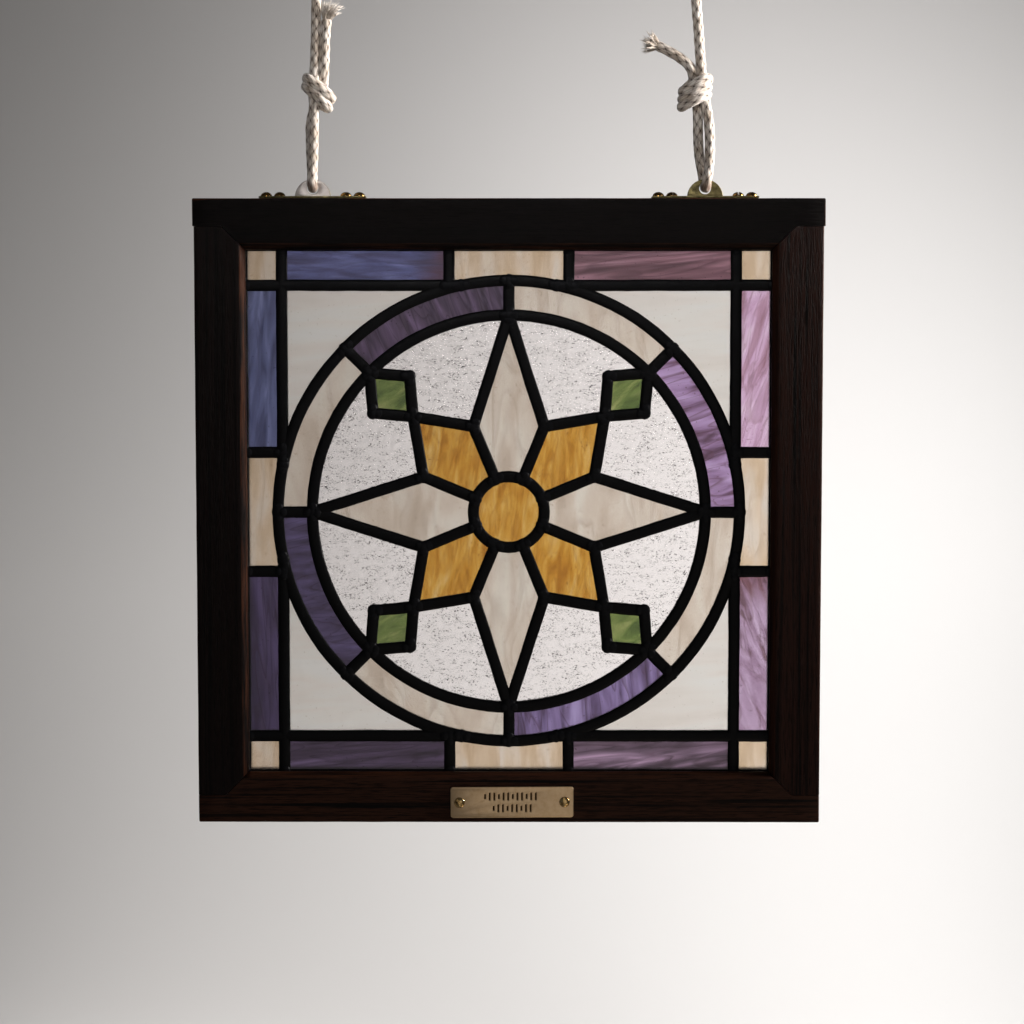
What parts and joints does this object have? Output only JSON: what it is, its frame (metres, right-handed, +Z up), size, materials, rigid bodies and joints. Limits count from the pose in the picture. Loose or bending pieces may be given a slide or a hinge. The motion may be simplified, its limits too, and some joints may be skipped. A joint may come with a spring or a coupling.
{
  "type": "hanging leaded glass panel",
  "caption": "Square leaded glass panel with a ringed compass star in a dark wood frame, hung on knotted cords from brass hangers.",
  "frame": {"origin": "midway between the two cord eyes, at the height of the inside top of each eye, where it rests on its hook", "axes": "+X to the right and +Y to the back as seen from the front, +Z up"},
  "size_m": [0.3516, 0.0246, 0.5185],
  "materials": {
    "frame_wood": "dark stained open-grained oak",
    "bead_wood": "dark stained, plain",
    "lead_came": "lead with a black patina",
    "hanger_brass": "aged, lightly polished",
    "plate_brass": "satin, aged",
    "cotton_cord": "natural braided cotton",
    "cream_glass": "cream opalescent, faintly wispy",
    "opal_glass": "white opal, faint vertical grain",
    "amber_glass": "amber opalescent, wispy",
    "green_glass": "green cathedral glass",
    "clear_glass": "clear, hammered and seedy",
    "blue_lilac_glass": "streaky blue violet",
    "lilac_glass": "streaky light lilac",
    "violet_glass": "streaky dark violet",
    "mauve_glass": "streaky mauve"
  },
  "bodies": {
    "root": {"centre_pane_bottom": "cream_glass", "centre_pane_left": "cream_glass", "centre_pane_right": "cream_glass", "centre_pane_top": "cream_glass", "corner_pane_1": "cream_glass", "corner_pane_2": "cream_glass", "corner_pane_3": "cream_glass", "corner_pane_4": "cream_glass", "frame_bottom_rail": "frame_wood", "frame_left_stile": "frame_wood", "frame_right_stile": "frame_wood", "frame_top_rail": "frame_wood", "glazing_beads": "bead_wood", "lead_came": "lead_came", "left_cord": "cotton_cord", "left_hanger": "hanger_brass", "right_cord": "cotton_cord", "right_hanger": "hanger_brass", "ring_pane_1": "lilac_glass", "ring_pane_2": "cream_glass", "ring_pane_3": "violet_glass", "ring_pane_4": "cream_glass", "ring_pane_5": "violet_glass", "ring_pane_6": "cream_glass", "ring_pane_7": "lilac_glass", "ring_pane_8": "cream_glass", "spandrel_1": "opal_glass", "spandrel_2": "opal_glass", "spandrel_3": "opal_glass", "spandrel_4": "opal_glass", "star_centre": "amber_glass", "star_ground_1": "clear_glass", "star_ground_2": "clear_glass", "star_ground_3": "clear_glass", "star_ground_4": "clear_glass", "star_ground_5": "clear_glass", "star_ground_6": "clear_glass", "star_ground_7": "clear_glass", "star_ground_8": "clear_glass", "star_long_point_1": "cream_glass", "star_long_point_2": "cream_glass", "star_long_point_3": "cream_glass", "star_long_point_4": "cream_glass", "star_lozenge_1": "green_glass", "star_lozenge_2": "green_glass", "star_lozenge_3": "green_glass", "star_lozenge_4": "green_glass", "star_short_point_1": "amber_glass", "star_short_point_2": "amber_glass", "star_short_point_3": "amber_glass", "star_short_point_4": "amber_glass", "strip_bottom_a": "mauve_glass", "strip_bottom_b": "violet_glass", "strip_left_a": "violet_glass", "strip_left_b": "blue_lilac_glass", "strip_right_a": "lilac_glass", "strip_right_b": "lilac_glass", "strip_top_a": "blue_lilac_glass", "strip_top_b": "mauve_glass", "title_plate": "plate_brass"}
  },
  "joints": []
}
